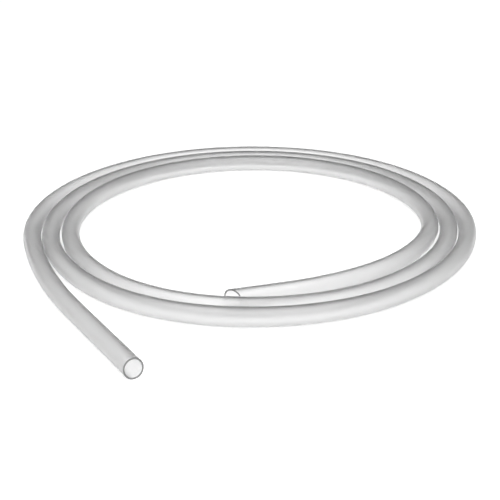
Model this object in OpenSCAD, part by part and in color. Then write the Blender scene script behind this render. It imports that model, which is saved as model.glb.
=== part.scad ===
// Thin-walled silicone tube, wound flat into a loose coil of nearly three turns with two loose tails.
// It lies on z = 0. The origin is the middle of its outline, seen from above, at the height of its lowest point.
// The winding goes clockwise from the outer cut end to the inner one, seen from above.

/* [Tube] */
// Outside diameter of the tube
tube_od = 12; // [10:0.5:14]
// Thickness of the tube's wall
wall = 1; // [0.75:0.25:2]

/* [Coil] */
// Mean bend radius where the coil begins, on the tube's centre line
coil_radius = 156.5; // [145:0.5:200]
// Mean gap between neighbouring turns, on top of the tube's own diameter
turn_gap = 0.9; // [0.9:0.1:3]
// Number of arcs in the coil, eight to a turn
coil_arcs = 20; // [12:1:24]
// How much wider (+) or tighter (-) each eighth of a turn is bent than a round coil
bend_offsets = [7, -3.5, -10, -1, 17.5, -4, -20.5, 14.5]; // [-25:0.5:25]

/* [Outer tail] */
// Heading of the tube at its outer cut end, counted from +X
outer_heading = 121; // [90:0.25:150]
// Length of the straight tube at the outer cut end
outer_straight = 82; // [40:1:110]
// Lean of the outer cut from square, which shows its face to the sky
outer_cut_tilt = 7; // [0:1:20]

/* [Inner tail] */
// Length of the straight tube at the inner cut end
inner_straight = 33; // [26:1:36]
// Skew of the inner cut from square, which shows its face to the outer turns
inner_cut_skew = 32; // [0:1:40]

/* [Hidden] */

tube_r = tube_od / 2;
bore_r = tube_r - wall;
turn_spacing = tube_od + turn_gap;

// Each bend is an angle and how much wider it is than the round coil there
outer_tail = [[17, 221.5], [20, -2]];
coil = [for (i = [0 : coil_arcs - 1]) [360 / len(bend_offsets), bend_offsets[i % len(bend_offsets)]]];
inner_tail = [[12, -35.75], [34, 14.25], [19, 63.5]];
offsets = concat(outer_tail, coil, inner_tail);

// How far the winding has turned inward before each bend, counted from the start of the coil
outer_turned = outer_tail[0][0] + outer_tail[1][0];
turned = [for (i = 0, angle = -outer_turned; i < len(offsets); angle = angle + offsets[i][0], i = i + 1) angle];

// The bends as radius and angle: the coil closes in by one turn spacing a turn, in steps of a micrometre
function to_micrometre(x) = round(x * 1000) / 1000;
bends = [for (i = [0 : len(offsets) - 1])
    [to_micrometre(coil_radius + offsets[i][1] - turn_spacing * max(turned[i], 0) / 360), offsets[i][0]]];

// A pose is a point on the centre line and the heading there
function right_of(heading) = [sin(heading), -cos(heading)];
function bend_centre(pose, bend) = pose[0] + bend[0] * right_of(pose[1]);
function on_bend(pose, bend, heading) = bend_centre(pose, bend) - bend[0] * right_of(heading);
function next_pose(pose, bend) = [on_bend(pose, bend, pose[1] - bend[1]), pose[1] - bend[1]];

// The centre line, bend by bend, from the inner end of the outer straight
first_pose = [outer_straight * [cos(outer_heading), sin(outer_heading)], outer_heading];
loose_poses = [for (i = 0, pose = first_pose; i <= len(bends);
    pose = i < len(bends) ? next_pose(pose, bends[i]) : pose, i = i + 1) pose];

// The outline's reach: the outermost points of the bends and of the outer cut end
reaches = [for (i = [0 : len(bends) - 1])
    let (from = loose_poses[i][1], to = from - bends[i][1])
        for (quarter = [ceil(to / 90) : floor(from / 90)])
            on_bend(loose_poses[i], bends[i], 90 * quarter)];
end_reach_y = tube_r * norm([cos(outer_heading), tan(outer_cut_tilt) * sin(outer_heading)]);
low_corner = [min([for (p = reaches) p[0]]) - tube_r,
    min(min([for (p = reaches) p[1]]) - tube_r, -end_reach_y)];
high_corner = [max([for (p = reaches) p[0]]) + tube_r, max([for (p = reaches) p[1]]) + tube_r];
middle = (low_corner + high_corner) / 2;
poses = [for (pose = loose_poses) [pose[0] - middle, pose[1]]];
last_pose = poses[len(bends)];

// A place is reached in three steps of falling size, so that neighbouring pieces meet without any
// rounding between them: whole millimetres, then millionths, then what is left over
function whole(v) = [for (x = v) floor(x)];
function millionths(v) = [for (x = v) floor((x - floor(x)) * 1e6) / 1e6];
module place(at) {
    translate(concat(whole(at), 0))
        translate(concat(millionths(at), 0))
            translate(concat(at - whole(at) - millionths(at), 0))
                children();
}

// A heading is reached in two steps for the same reason: a near one whose sine and cosine still make
// a unit vector at six figures, so that it stretches nothing, then the rest
function six_figures(x) = let (unit = pow(10, floor(log(abs(x))) - 5)) round(x / unit) * unit;
function short_vector(heading) = [six_figures(cos(heading)), six_figures(sin(heading))];
function stretch(heading) = abs(norm(short_vector(heading)) - 1);
function least_stretched(heading) =
    let (near = [for (i = [-300 : 300]) heading + i / 1e5], least = min([for (h = near) stretch(h)]))
        [for (h = near) if (stretch(h) == least) h][0];
module face(heading) {
    principal = heading - 360 * round(heading / 360);
    near = least_stretched(principal);
    rotate(near)
        rotate(principal - atan2(short_vector(near)[1], short_vector(near)[0]))
            children();
}

// The tube's section: a round wall about a round bore
module section() {
    difference() {
        circle(r = tube_r);
        circle(r = bore_r);
    }
}

// One bend of the tube, turning clockwise from its pose
module bent_tube(pose, bend) {
    place(bend_centre(pose, bend))
        rotate_extrude(angle = bend[1], start = pose[1] + 90 - bend[1])
            translate([bend[0], 0])
                section();
}

// A straight end of the tube that leaves a pose, cut off at its length by a leaning plane
module cut_end(pose, length, tilt, skew) {
    spare = tube_od;
    place(pose[0])
        face(pose[1])
            difference() {
                rotate([90, 0, 90]) linear_extrude(length + spare) section();
                translate([length, 0, 0])
                    rotate([0, -tilt, skew])
                        translate([0, -tube_od, -tube_od])
                            cube([2 * spare, 2 * tube_od, 2 * tube_od]);
            }
}

// The bends from one index to another
module bent_tubes(first, last) {
    for (i = [first : last]) bent_tube(poses[i], bends[i]);
}

// The whole tube, one turn at a time
module tubing() {
    turn = len(bend_offsets);
    color("gainsboro")
        translate([0, 0, tube_r]) {
            cut_end([poses[0][0], poses[0][1] - 180], outer_straight, outer_cut_tilt, 0);
            for (first = [0 : turn : len(bends) - 1])
                bent_tubes(first, min(first + turn, len(bends)) - 1);
            cut_end(last_pose, inner_straight, 0, inner_cut_skew);
        }
}

tubing();
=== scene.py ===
"""A coil of clear silicone tubing on a white table: its looks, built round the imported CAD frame.

Lengths are in metres in the row frame of the part: z = 0 is the table, +Y is away from the camera.
"""

import logging
import math
from dataclasses import dataclass, field
from enum import Enum

import bpy
from mathutils import Euler, Matrix, Vector

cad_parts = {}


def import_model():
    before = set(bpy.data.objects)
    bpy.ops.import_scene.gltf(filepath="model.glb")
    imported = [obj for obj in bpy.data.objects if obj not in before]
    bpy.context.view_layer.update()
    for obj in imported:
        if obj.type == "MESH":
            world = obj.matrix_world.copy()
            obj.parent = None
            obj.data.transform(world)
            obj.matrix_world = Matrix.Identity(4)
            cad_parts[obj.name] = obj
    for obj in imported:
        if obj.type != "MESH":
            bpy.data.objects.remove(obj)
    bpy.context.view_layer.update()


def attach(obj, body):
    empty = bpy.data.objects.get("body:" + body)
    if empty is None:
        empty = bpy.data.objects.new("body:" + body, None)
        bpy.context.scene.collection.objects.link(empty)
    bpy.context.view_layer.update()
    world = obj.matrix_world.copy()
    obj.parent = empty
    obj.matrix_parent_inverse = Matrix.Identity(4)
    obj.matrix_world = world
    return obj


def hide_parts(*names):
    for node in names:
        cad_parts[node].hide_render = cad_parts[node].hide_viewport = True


LOG = logging.getLogger("tubing_coil")
MM = 0.001
UP = (0.0, 0.0, 1.0)
WHITE = "#FFFFFF"


# Small helpers


def srgb(code: str) -> tuple[float, float, float, float]:
    """Turns an sRGB hex colour into linear light.

    Args:
        code: six hex digits with a leading hash.

    Returns:
        The linear red, green and blue, and an alpha of 1.
    """
    parts = [int(code[i : i + 2], 16) / 255 for i in (1, 3, 5)]
    linear = [c / 12.92 if c <= 0.04045 else ((c + 0.055) / 1.055) ** 2.4 for c in parts]
    return (linear[0], linear[1], linear[2], 1.0)


def add_node(
    tree: bpy.types.NodeTree,
    kind: str,
    links: dict[str | int, object] | None = None,
    **settings: object,
) -> bpy.types.Node:
    """Adds one node with its settings, its socket values and its incoming links.

    Args:
        tree: the node tree it goes into.
        kind: the node's Blender type name.
        links: socket name or index to a socket to link from, to a node for its first output, or to
            a plain value.
        settings: properties of the node itself.

    Returns:
        The new node.
    """
    node = tree.nodes.new(kind)
    for name, value in settings.items():
        setattr(node, name, value)
    for key, value in (links or {}).items():
        source = value.outputs[0] if isinstance(value, bpy.types.Node) else value
        if isinstance(source, bpy.types.NodeSocket):
            tree.links.new(source, node.inputs[key])
        else:
            node.inputs[key].default_value = source
    return node


def new_material(name: str) -> bpy.types.Material:
    """Makes a material whose node tree is still empty.

    Args:
        name: the material's name.

    Returns:
        The new material.
    """
    material = bpy.data.materials.new(name)
    material.use_nodes = True
    material.node_tree.nodes.clear()
    return material


# The route and the cuts


@dataclass(frozen=True)
class Bend:
    """One arc of the centre line, turning clockwise seen from above.

    Its angle is in degrees, and its radius is wider than the coil's by so many millimetres there.
    """

    angle: float
    wider_by: float


@dataclass
class Route:
    """The centre line of the tube, from its outer cut end to its inner one.

    The sizes are those of the CAD part, with angles in degrees and lengths in millimetres. Only the
    step, which is the most that two points lie apart, is the scene's own.
    """

    coil_radius: float = 156.5
    turn_spacing: float = 12.9
    arcs_in_turn: int = 8
    coil_arcs: int = 20
    bend_offsets: tuple[float, ...] = (7, -3.5, -10, -1, 17.5, -4, -20.5, 14.5)
    outer_tail: tuple[Bend, ...] = (Bend(17, 221.5), Bend(20, -2))
    inner_tail: tuple[Bend, ...] = (Bend(12, -35.75), Bend(34, 14.25), Bend(19, 63.5))
    outer_heading: float = 121.0
    outer_straight: float = 82.0
    inner_straight: float = 33.0
    outer_end: tuple[float, float] = (-61.2135, -186.8041)
    step: float = 4.0

    def bends(self) -> list[tuple[float, float]]:
        """Works out the bends from the outer straight to the inner one.

        Returns:
            Each bend's radius in millimetres and its angle in degrees.
        """
        eighth = 360 / self.arcs_in_turn
        offsets = [self.bend_offsets[i % self.arcs_in_turn] for i in range(self.coil_arcs)]
        coil = [Bend(eighth, offset) for offset in offsets]
        turned = -sum(bend.angle for bend in self.outer_tail)
        found = []
        for bend in (*self.outer_tail, *coil, *self.inner_tail):
            radius = self.coil_radius + bend.wider_by - self.turn_spacing * max(turned, 0) / 360
            found.append((round(radius, 3), bend.angle))
            turned += bend.angle
        return found

    def points(self, height: float) -> list[Vector]:
        """Walks the centre line from the outer cut end to the inner one.

        Args:
            height: how high the centre line lies over the table, in metres.

        Returns:
            Points in metres, close enough together to stand for the smooth line.
        """
        x, y = self.outer_end
        heading = math.radians(self.outer_heading)
        found = [(x, y)]
        runs = [(self.outer_straight, 0.0)]
        runs += [(radius * math.radians(angle), 1 / radius) for radius, angle in self.bends()]
        runs += [(self.inner_straight, 0.0)]
        for length, curvature in runs:
            count = max(2, math.ceil(length / self.step))
            for k in range(1, count + 1):
                gone = length * k / count
                turn = gone * curvature
                if curvature:
                    dx = (math.sin(heading) - math.sin(heading - turn)) / curvature
                    dy = (math.cos(heading - turn) - math.cos(heading)) / curvature
                else:
                    dx, dy = gone * math.cos(heading), gone * math.sin(heading)
                found.append((x + dx, y + dy))
            x, y = found[-1]
            heading -= length * curvature
        return [Vector((px * MM, py * MM, height)) for px, py in found]

    def length(self) -> float:
        """Gives the centre line's length in metres."""
        bent = sum(radius * math.radians(angle) for radius, angle in self.bends())
        return (self.outer_straight + bent + self.inner_straight) * MM


class Lean(Enum):
    """Which way a cut face leans from square."""

    ALONG_AS_IT_RISES = "along the tube as it rises"
    ALONG_TO_THE_LEFT = "along the tube to its left"


@dataclass(frozen=True)
class Cut:
    """A cut across the tube: which way its face leans from square, and by how many degrees."""

    lean: Lean
    angle: float

    def slopes(self) -> tuple[float, float]:
        """Works out how far the face moves along the tube.

        Returns:
            Metres along the tube for each metre up, and for each metre to the left.
        """
        slope = math.tan(math.radians(self.angle))
        if self.lean is Lean.ALONG_AS_IT_RISES:
            return slope, 0.0
        return 0.0, slope


# The finishes


@dataclass(frozen=True)
class ClearSilicone:
    """Platinum-cured silicone rubber, extruded: clear to faintly milky, with a soft, unpolished skin.

    The skin blurs what is seen through it and softens the dark lines along the tube. The rubber
    itself takes a little light by its depth, which is most where the eye looks along the wall.
    """

    colour: str = "#FDFDFD"
    clearness: float = 0.92
    ior: float = 1.41
    roughness: float = 0.28
    roughness_spread: float = 0.02
    haze_colour: str = "#BCBCBC"
    haze_per_metre: float = 32.0
    mottle_size: float = 9.0 * MM
    mottle_detail: float = 3.0
    mottle_contrast: float = 0.55
    mottle_range: tuple[float, float] = (0.3, 0.7)

    def material(self) -> bpy.types.Material:
        """Builds the node material.

        Returns:
            The finished material.
        """
        silicone = new_material("clear_platinum_cured_silicone")
        tree = silicone.node_tree
        place = add_node(tree, "ShaderNodeTexCoord")
        # The die and the curing leave the skin a little uneven, in patches under a tube's width across.
        mottle = add_node(
            tree,
            "ShaderNodeTexNoise",
            {
                "Vector": place.outputs["Object"],
                "Scale": 1 / self.mottle_size,
                "Detail": self.mottle_detail,
                "Roughness": self.mottle_contrast,
            },
        )
        low, high = self.mottle_range
        rough = add_node(
            tree,
            "ShaderNodeMapRange",
            {
                "Value": mottle.outputs["Fac"],
                "From Min": low,
                "From Max": high,
                "To Min": self.roughness,
                "To Max": self.roughness + self.roughness_spread,
            },
        )
        skin = add_node(
            tree,
            "ShaderNodeBsdfPrincipled",
            {
                "Base Color": srgb(self.colour),
                "Roughness": rough.outputs["Result"],
                "IOR": self.ior,
                "Transmission Weight": self.clearness,
            },
        )
        haze = add_node(
            tree,
            "ShaderNodeVolumeAbsorption",
            {"Color": srgb(self.haze_colour), "Density": self.haze_per_metre},
        )
        add_node(tree, "ShaderNodeOutputMaterial", {"Surface": skin, "Volume": haze})
        return silicone


@dataclass(frozen=True)
class KnifeCut:
    """The cut faces of the same rubber: a blade leaves them finely torn, so they look dull and grey.

    Real tears are finer than the render can show, so they are drawn as coarse as it needs.
    """

    colour: str = "#A0A0A0"
    clearness: float = 0.3
    ior: float = 1.41
    roughness: float = 0.45
    tear_size: float = 0.35 * MM
    tear_depth: float = 0.02 * MM
    tear_detail: float = 2.0

    def material(self) -> bpy.types.Material:
        """Builds the node material.

        Returns:
            The finished material.
        """
        cut = new_material("knife_cut_silicone")
        tree = cut.node_tree
        place = add_node(tree, "ShaderNodeTexCoord")
        tears = add_node(
            tree,
            "ShaderNodeTexNoise",
            {
                "Vector": place.outputs["Object"],
                "Scale": 1 / self.tear_size,
                "Detail": self.tear_detail,
            },
        )
        bump = add_node(
            tree,
            "ShaderNodeBump",
            {"Height": tears.outputs["Fac"], "Strength": 1.0, "Distance": self.tear_depth},
        )
        face = add_node(
            tree,
            "ShaderNodeBsdfPrincipled",
            {
                "Base Color": srgb(self.colour),
                "Roughness": self.roughness,
                "IOR": self.ior,
                "Transmission Weight": self.clearness,
                "Normal": bump,
            },
        )
        add_node(tree, "ShaderNodeOutputMaterial", {"Surface": face})
        return cut


@dataclass(frozen=True)
class WhiteTable:
    """A sheet of white acrylic under the object.

    Seen straight, it glows and is lit a little past white, so only deep shadow on it shows. What is
    seen of it in the tube, mirrored or bent, is nearly all glow, because clear tube lets the light
    down to the table under it. The light that it throws back up comes from its colour alone.
    """

    colour: str = "#F4F4F4"
    shaded_colour: str = "#DADADA"
    glow: float = 0.62
    through_colour: str = "#4A4A4A"
    glow_through: float = 1.14

    def glowing_sheet(self, tree: bpy.types.NodeTree, colour: str, glow: float) -> bpy.types.Node:
        """Adds a sheet of one colour with a white glow of its own.

        Args:
            tree: the material's node tree.
            colour: the sheet's sRGB hex colour.
            glow: how strongly it glows.

        Returns:
            The node that adds the two.
        """
        sheet = add_node(tree, "ShaderNodeBsdfDiffuse", {"Color": srgb(colour)})
        light = add_node(tree, "ShaderNodeEmission", {"Color": srgb(WHITE), "Strength": glow})
        return add_node(tree, "ShaderNodeAddShader", {0: sheet, 1: light})

    def material(self) -> bpy.types.Material:
        """Builds the node material.

        Returns:
            The finished material.
        """
        acrylic = new_material("white_acrylic_table")
        tree = acrylic.node_tree
        path = add_node(tree, "ShaderNodeLightPath")
        in_tube = add_node(
            tree,
            "ShaderNodeMath",
            {0: path.outputs["Is Glossy Ray"], 1: path.outputs["Is Transmission Ray"]},
            operation="MAXIMUM",
        )
        plain = add_node(tree, "ShaderNodeBsdfDiffuse", {"Color": srgb(self.colour)})
        through = self.glowing_sheet(tree, self.through_colour, self.glow_through)
        unseen = add_node(tree, "ShaderNodeMixShader", {0: in_tube, 1: plain, 2: through})
        seen = self.glowing_sheet(tree, self.shaded_colour, self.glow)
        both = add_node(
            tree, "ShaderNodeMixShader", {0: path.outputs["Is Camera Ray"], 1: unseen, 2: seen}
        )
        add_node(tree, "ShaderNodeOutputMaterial", {"Surface": both})
        return acrylic


# The tube


@dataclass
class SiliconeTube:
    """The whole object: one length of thin-walled tube that follows the route, open at both cuts."""

    outside: float = 12.0 * MM
    wall: float = 1.0 * MM
    rings: int = 700
    sides: int = 48
    weld_distance: float = 0.001 * MM
    sharp_from: float = 40.0
    # The tube starts at its outer end, so a face that moves along it as it rises leans back.
    outer_cut: Cut = Cut(Lean.ALONG_AS_IT_RISES, 7.0)
    # The inner face looks to the left of the route, where the outer turns lie.
    inner_cut: Cut = Cut(Lean.ALONG_TO_THE_LEFT, -32.0)
    route: Route = field(default_factory=Route)
    finish: ClearSilicone = field(default_factory=ClearSilicone)
    cut_finish: KnifeCut = field(default_factory=KnifeCut)

    def centre_line(self) -> bpy.types.Object:
        """Makes the route as a curve object of one open spline.

        Returns:
            The curve object.
        """
        curve = bpy.data.curves.new("tube_centre_line", "CURVE")
        curve.dimensions = "3D"
        points = self.route.points(self.outside / 2)
        spline = curve.splines.new("POLY")
        spline.points.add(len(points) - 1)
        for target, point in zip(spline.points, points):
            target.co = (*point, 1.0)
        line = bpy.data.objects.new("tube_centre_line", curve)
        bpy.context.collection.objects.link(line)
        return line

    def sweep_inputs(self) -> dict[str, tuple[str, object]]:
        """Gives the sweep's named inputs.

        Returns:
            Each input's name, with its socket type and its value.
        """
        near_up, near_left = self.outer_cut.slopes()
        far_up, far_left = self.inner_cut.slopes()
        return {
            "Outside Radius": ("NodeSocketFloat", self.outside / 2),
            "Bore Radius": ("NodeSocketFloat", self.outside / 2 - self.wall),
            "Rings": ("NodeSocketInt", self.rings),
            "Sides": ("NodeSocketInt", self.sides),
            "Near Cut Slope Up": ("NodeSocketFloat", near_up),
            "Near Cut Slope Left": ("NodeSocketFloat", near_left),
            "Far Cut Slope Up": ("NodeSocketFloat", far_up),
            "Far Cut Slope Left": ("NodeSocketFloat", far_left),
            "Finish": ("NodeSocketMaterial", self.finish.material()),
            "Cut Finish": ("NodeSocketMaterial", self.cut_finish.material()),
        }

    def flat_sheet(self, tree: bpy.types.NodeTree) -> bpy.types.Node:
        """Lays a flat sheet, one metre square, that is later wrapped into the tube.

        Its columns are the rings there and back, with the first one again at the end. Its rows are
        the sides.

        Args:
            tree: the sweep's node tree.

        Returns:
            The node that makes the sheet.
        """
        given = tree.nodes["Group Input"].outputs
        there_and_back = add_node(
            tree, "ShaderNodeMath", {0: given["Rings"], 1: 2.0}, operation="MULTIPLY"
        )
        columns = add_node(tree, "ShaderNodeMath", {0: there_and_back, 1: 1.0}, operation="ADD")
        rows = add_node(tree, "ShaderNodeMath", {0: given["Sides"], 1: 1.0}, operation="ADD")
        return add_node(
            tree,
            "GeometryNodeMeshGrid",
            {"Size X": 1.0, "Size Y": 1.0, "Vertices X": columns, "Vertices Y": rows},
        )

    def ring_radius_angle(
        self, tree: bpy.types.NodeTree
    ) -> tuple[bpy.types.Node, bpy.types.Node, bpy.types.Node]:
        """Works out which ring a point of the flat sheet belongs to, and where on it.

        The sheet runs along the outside, turns in at the far cut, runs back along the bore and turns
        out again at the near cut, so wall, bore and both cut faces are one closed skin.

        Args:
            tree: the sweep's node tree.

        Returns:
            Nodes for the ring's number, the radius there and the angle round it.
        """
        given = tree.nodes["Group Input"].outputs
        rings = given["Rings"]
        position = add_node(tree, "GeometryNodeInputPosition")
        spot = add_node(tree, "ShaderNodeSeparateXYZ", {0: position})
        across = add_node(tree, "ShaderNodeMath", {0: spot.outputs["X"], 1: 0.5}, operation="ADD")
        down = add_node(tree, "ShaderNodeMath", {0: spot.outputs["Y"], 1: 0.5}, operation="ADD")
        angle = add_node(tree, "ShaderNodeMath", {0: down, 1: -2 * math.pi}, operation="MULTIPLY")
        twice = add_node(tree, "ShaderNodeMath", {0: rings, 1: 2.0}, operation="MULTIPLY")
        exact = add_node(tree, "ShaderNodeMath", {0: across, 1: twice}, operation="MULTIPLY")
        counted = add_node(tree, "ShaderNodeMath", {0: exact}, operation="ROUND")
        column = add_node(tree, "ShaderNodeMath", {0: counted, 1: twice}, operation="MODULO")
        # Columns 0 to Rings - 1 go out along the outside; Rings to 2 Rings - 1 come back in the bore.
        turn_back = add_node(tree, "ShaderNodeMath", {0: rings, 1: 0.5}, operation="SUBTRACT")
        in_bore = add_node(
            tree, "ShaderNodeMath", {0: column, 1: turn_back}, operation="GREATER_THAN"
        )
        last = add_node(tree, "ShaderNodeMath", {0: twice, 1: 1.0}, operation="SUBTRACT")
        from_end = add_node(tree, "ShaderNodeMath", {0: last, 1: column}, operation="SUBTRACT")
        ring = add_node(
            tree, "ShaderNodeMix", {0: in_bore, 2: column, 3: from_end}, data_type="FLOAT"
        )
        radius = add_node(
            tree,
            "ShaderNodeMix",
            {0: in_bore, 2: given["Outside Radius"], 3: given["Bore Radius"]},
            data_type="FLOAT",
        )
        return ring, radius, angle

    def wrapped_place(self, tree: bpy.types.NodeTree) -> bpy.types.Node:
        """Works out where each point of the flat sheet lies on the tube.

        Args:
            tree: the sweep's node tree.

        Returns:
            The node that gives the place.
        """
        given = tree.nodes["Group Input"].outputs
        rings = given["Rings"]
        ring, radius, angle = self.ring_radius_angle(tree)
        # Where the ring's centre lies, and which way is along and to the left there.
        spaces = add_node(tree, "ShaderNodeMath", {0: rings, 1: 1.0}, operation="SUBTRACT")
        share = add_node(tree, "ShaderNodeMath", {0: ring, 1: spaces}, operation="DIVIDE")
        centre = add_node(
            tree, "GeometryNodeSampleCurve", {"Curves": given["Route"], "Factor": share}, mode="FACTOR"
        )
        along = add_node(
            tree, "ShaderNodeVectorMath", {0: centre.outputs["Tangent"]}, operation="NORMALIZE"
        )
        sideways = add_node(
            tree, "ShaderNodeVectorMath", {0: UP, 1: along}, operation="CROSS_PRODUCT"
        )
        left = add_node(tree, "ShaderNodeVectorMath", {0: sideways}, operation="NORMALIZE")
        # How far to the left of the centre the point lies, and how far above it.
        cosine = add_node(tree, "ShaderNodeMath", {0: angle}, operation="COSINE")
        sine = add_node(tree, "ShaderNodeMath", {0: angle}, operation="SINE")
        left_by = add_node(tree, "ShaderNodeMath", {0: radius, 1: cosine}, operation="MULTIPLY")
        up_by = add_node(tree, "ShaderNodeMath", {0: radius, 1: sine}, operation="MULTIPLY")
        # A leaning cut moves only the first or the last ring along the tube.
        before_last = add_node(tree, "ShaderNodeMath", {0: rings, 1: 1.5}, operation="SUBTRACT")
        ends = {
            "Near": add_node(tree, "ShaderNodeMath", {0: ring, 1: 0.5}, operation="LESS_THAN"),
            "Far": add_node(
                tree, "ShaderNodeMath", {0: ring, 1: before_last}, operation="GREATER_THAN"
            ),
        }
        shifts = []
        for end, at_end in ends.items():
            rises, leans = given[f"{end} Cut Slope Up"], given[f"{end} Cut Slope Left"]
            by_height = add_node(tree, "ShaderNodeMath", {0: up_by, 1: rises}, operation="MULTIPLY")
            by_side = add_node(tree, "ShaderNodeMath", {0: left_by, 1: leans}, operation="MULTIPLY")
            moved = add_node(tree, "ShaderNodeMath", {0: by_height, 1: by_side}, operation="ADD")
            shifts.append(
                add_node(tree, "ShaderNodeMath", {0: at_end, 1: moved}, operation="MULTIPLY")
            )
        shift_by = add_node(tree, "ShaderNodeMath", dict(enumerate(shifts)), operation="ADD")
        # The centre, the way out from it and the cut's shift make the place.
        shift = add_node(
            tree, "ShaderNodeVectorMath", {0: along, "Scale": shift_by}, operation="SCALE"
        )
        to_left = add_node(
            tree, "ShaderNodeVectorMath", {0: left, "Scale": left_by}, operation="SCALE"
        )
        upwards = add_node(tree, "ShaderNodeVectorMath", {0: UP, "Scale": up_by}, operation="SCALE")
        outwards = add_node(
            tree, "ShaderNodeVectorMath", {0: to_left, 1: upwards}, operation="ADD"
        )
        shifted = add_node(
            tree, "ShaderNodeVectorMath", {0: outwards, 1: shift}, operation="ADD"
        )
        return add_node(
            tree,
            "ShaderNodeVectorMath",
            {0: centre.outputs["Position"], 1: shifted},
            operation="ADD",
        )

    def unwrapped(
        self, tree: bpy.types.NodeTree, sheet: bpy.types.Node
    ) -> tuple[bpy.types.Node, bpy.types.Node]:
        """Works out the UV map: metres along the tube, there and back, and metres round it.

        Args:
            tree: the sweep's node tree.
            sheet: the node that makes the flat sheet.

        Returns:
            Nodes for the map and for the tube's length.
        """
        given = tree.nodes["Group Input"].outputs
        length = add_node(tree, "GeometryNodeCurveLength", {"Curve": given["Route"]})
        flat = add_node(tree, "ShaderNodeSeparateXYZ", {0: sheet.outputs["UV Map"]})
        passes = add_node(tree, "ShaderNodeMath", {0: flat.outputs["X"], 1: 2.0}, operation="MULTIPLY")
        along = add_node(tree, "ShaderNodeMath", {0: passes, 1: length}, operation="MULTIPLY")
        girth = add_node(
            tree,
            "ShaderNodeMath",
            {0: given["Outside Radius"], 1: 2 * math.pi},
            operation="MULTIPLY",
        )
        around = add_node(
            tree, "ShaderNodeMath", {0: flat.outputs["Y"], 1: girth}, operation="MULTIPLY"
        )
        return add_node(tree, "ShaderNodeCombineXYZ", {"X": along, "Y": around}), length

    def on_cut_face(self, tree: bpy.types.NodeTree, length: bpy.types.Node) -> bpy.types.Node:
        """Works out whether a face lies on a cut, in one of the two strips that join outside and bore.

        Args:
            tree: the sweep's node tree.
            length: the node for the tube's length.

        Returns:
            The node that is 1 on a cut face and 0 elsewhere.
        """
        rings = tree.nodes["Group Input"].outputs["Rings"]
        laid = add_node(
            tree, "GeometryNodeInputNamedAttribute", {"Name": "UVMap"}, data_type="FLOAT_VECTOR"
        )
        metres = add_node(tree, "ShaderNodeSeparateXYZ", {0: laid.outputs["Attribute"]})
        share = add_node(
            tree, "ShaderNodeMath", {0: metres.outputs["X"], 1: length}, operation="DIVIDE"
        )
        strip = add_node(tree, "ShaderNodeMath", {0: share, 1: rings}, operation="MULTIPLY")
        next_strip = add_node(tree, "ShaderNodeMath", {0: strip, 1: 1.0}, operation="ADD")
        counted = add_node(tree, "ShaderNodeMath", {0: next_strip, 1: rings}, operation="MODULO")
        return add_node(tree, "ShaderNodeMath", {0: counted, 1: 1.0}, operation="LESS_THAN")

    def sweep_tree(self, inputs: dict[str, tuple[str, object]]) -> bpy.types.GeometryNodeTree:
        """Builds the node tree that wraps a closed sheet round the centre line.

        Args:
            inputs: the tree's named inputs, with their socket types.

        Returns:
            The tree, which turns the route into the tube.
        """
        tree = bpy.data.node_groups.new("hollow_tube_on_route", "GeometryNodeTree")
        sockets = tree.interface
        sockets.new_socket("Route", in_out="INPUT", socket_type="NodeSocketGeometry")
        for name, (kind, _) in inputs.items():
            sockets.new_socket(name, in_out="INPUT", socket_type=kind)
        sockets.new_socket("Tube", in_out="OUTPUT", socket_type="NodeSocketGeometry")
        given = add_node(tree, "NodeGroupInput", name="Group Input").outputs
        sheet = self.flat_sheet(tree)
        bent = add_node(
            tree,
            "GeometryNodeSetPosition",
            {"Geometry": sheet.outputs["Mesh"], "Position": self.wrapped_place(tree)},
        )
        uv_map, length = self.unwrapped(tree, sheet)
        mapped = add_node(
            tree,
            "GeometryNodeStoreNamedAttribute",
            {"Geometry": bent, "Name": "UVMap", "Value": uv_map},
            data_type="FLOAT2",
            domain="CORNER",
        )
        closed = add_node(
            tree, "GeometryNodeMergeByDistance", {"Geometry": mapped, "Distance": self.weld_distance}
        )
        real = add_node(tree, "GeometryNodeRealizeInstances", {"Geometry": closed})
        dressed = add_node(
            tree, "GeometryNodeSetMaterial", {"Geometry": real, "Material": given["Finish"]}
        )
        cut = add_node(
            tree,
            "GeometryNodeSetMaterial",
            {
                "Geometry": dressed,
                "Selection": self.on_cut_face(tree, length),
                "Material": given["Cut Finish"],
            },
        )
        add_node(tree, "NodeGroupOutput", {"Tube": cut})
        return tree

    def swept_mesh(self) -> bpy.types.Mesh:
        """Sweeps the tube along its centre line.

        Returns:
            The closed skin as a plain mesh, smooth but for the edges of the cuts.
        """
        line = self.centre_line()
        inputs = self.sweep_inputs()
        tree = self.sweep_tree(inputs)
        sweep = line.modifiers.new("sweep", "NODES")
        sweep.node_group = tree
        for socket in tree.interface.items_tree:
            if socket.name in inputs:
                sweep[socket.identifier] = inputs[socket.name][1]
        seen = line.evaluated_get(bpy.context.evaluated_depsgraph_get())
        mesh = bpy.data.meshes.new_from_object(seen)
        mesh.name = "silicone_tube"
        bpy.data.objects.remove(line)
        mesh.polygons.foreach_set("use_smooth", [True] * len(mesh.polygons))
        mesh.set_sharp_from_angle(angle=math.radians(self.sharp_from))
        return mesh

    def build(self) -> bpy.types.Object:
        """Returns:
            The finished piece.
        """
        tube = bpy.data.objects.new("silicone_tube", self.swept_mesh())
        bpy.context.collection.objects.link(tube)
        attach(tube, "root")
        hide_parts("tubing")
        points = self.route.points(self.outside / 2)
        self.route.length()
        return tube


# The studio


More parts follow.
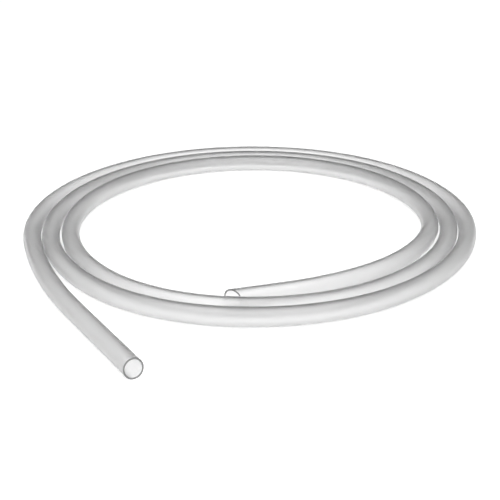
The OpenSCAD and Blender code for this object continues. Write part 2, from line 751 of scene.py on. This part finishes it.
@dataclass
class Studio:
    """The white table, the soft light and the camera.

    The camera's angles are in degrees, and its lens and sensor are in millimetres.
    """

    table: WhiteTable = field(default_factory=WhiteTable)
    table_size: float = 12.0
    camera_at: tuple[float, float, float] = (-0.000317, -0.693395, 0.285339)
    looks_down: float = 22.6753
    rolled: float = 0.4398
    turned: float = 0.0430
    lens: float = 79.2
    sensor_width: float = 36.0
    room: str = "#404040"
    lamp_power: float = 54.0
    lamp_size: float = 2.6
    lamp_at: tuple[float, float, float] = (0.0, -0.7, 1.7)

    def add_camera(self) -> bpy.types.Object:
        """Stands the camera where it sees the coil as the photograph shows it.

        Returns:
            The camera object.
        """
        data = bpy.data.cameras.new("camera")
        data.lens = self.lens
        data.sensor_width = self.sensor_width
        camera = bpy.data.objects.new("camera", data)
        bpy.context.collection.objects.link(camera)
        tilt = math.radians(90 - self.looks_down)
        aim = Euler((tilt, 0.0, math.radians(self.turned))).to_matrix()
        roll = Matrix.Rotation(math.radians(self.rolled), 3, "Z")
        camera.matrix_world = Matrix.Translation(self.camera_at) @ (aim @ roll).to_4x4()
        bpy.context.scene.camera = camera
        return camera

    def add_table(self) -> bpy.types.Object:
        """Lays the white sheet that the tube lies on.

        Returns:
            The table object.
        """
        mesh = bpy.data.meshes.new("white_table")
        half = self.table_size / 2
        corners = [(-half, -half, 0), (half, -half, 0), (half, half, 0), (-half, half, 0)]
        mesh.from_pydata(corners, [], [(0, 1, 2, 3)])
        mesh.materials.append(self.table.material())
        sheet = bpy.data.objects.new("white_table", mesh)
        bpy.context.collection.objects.link(sheet)
        return sheet

    def add_lamp(self) -> bpy.types.Object:
        """Hangs one large soft lamp above the coil and a little in front, facing its middle.

        Returns:
            The lamp object.
        """
        data = bpy.data.lights.new("overhead_softbox", "AREA")
        data.shape = "SQUARE"
        data.size = self.lamp_size
        data.energy = self.lamp_power
        lamp = bpy.data.objects.new("overhead_softbox", data)
        lamp.location = self.lamp_at
        lamp.rotation_euler = (-Vector(self.lamp_at)).to_track_quat("-Z", "Y").to_euler()
        bpy.context.collection.objects.link(lamp)
        return lamp

    def add_room(self) -> None:
        """Surrounds the table with a dim grey room, which the camera itself sees as white."""
        world = bpy.data.worlds.new("dim_grey_room")
        bpy.context.scene.world = world
        world.use_nodes = True
        tree = world.node_tree
        tree.nodes.clear()
        path = add_node(tree, "ShaderNodeLightPath")
        room = add_node(tree, "ShaderNodeBackground", {"Color": srgb(self.room), "Strength": 1.0})
        white = add_node(tree, "ShaderNodeBackground", {"Color": srgb(WHITE), "Strength": 1.0})
        seen = add_node(
            tree, "ShaderNodeMixShader", {0: path.outputs["Is Camera Ray"], 1: room, 2: white}
        )
        add_node(tree, "ShaderNodeOutputWorld", {"Surface": seen})

    def build(self) -> None:
        """Sets up the camera, the table, the light and the plain view of colours."""
        self.add_camera()
        self.add_table()
        self.add_lamp()
        self.add_room()
        bpy.context.scene.view_settings.view_transform = "Standard"


def main() -> None:
    """Builds the studio and the tube, and reports each piece."""
    logging.basicConfig(level=logging.INFO, format="%(name)s: %(message)s")
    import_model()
    Studio().build()
    LOG.info("studio: camera, white table and soft light")
    tube = SiliconeTube()
    piece = tube.build()
    LOG.info("%s: %.3f m of tube, %d faces", piece.name, tube.route.length(), len(piece.data.polygons))


if __name__ == "__main__":
    main()
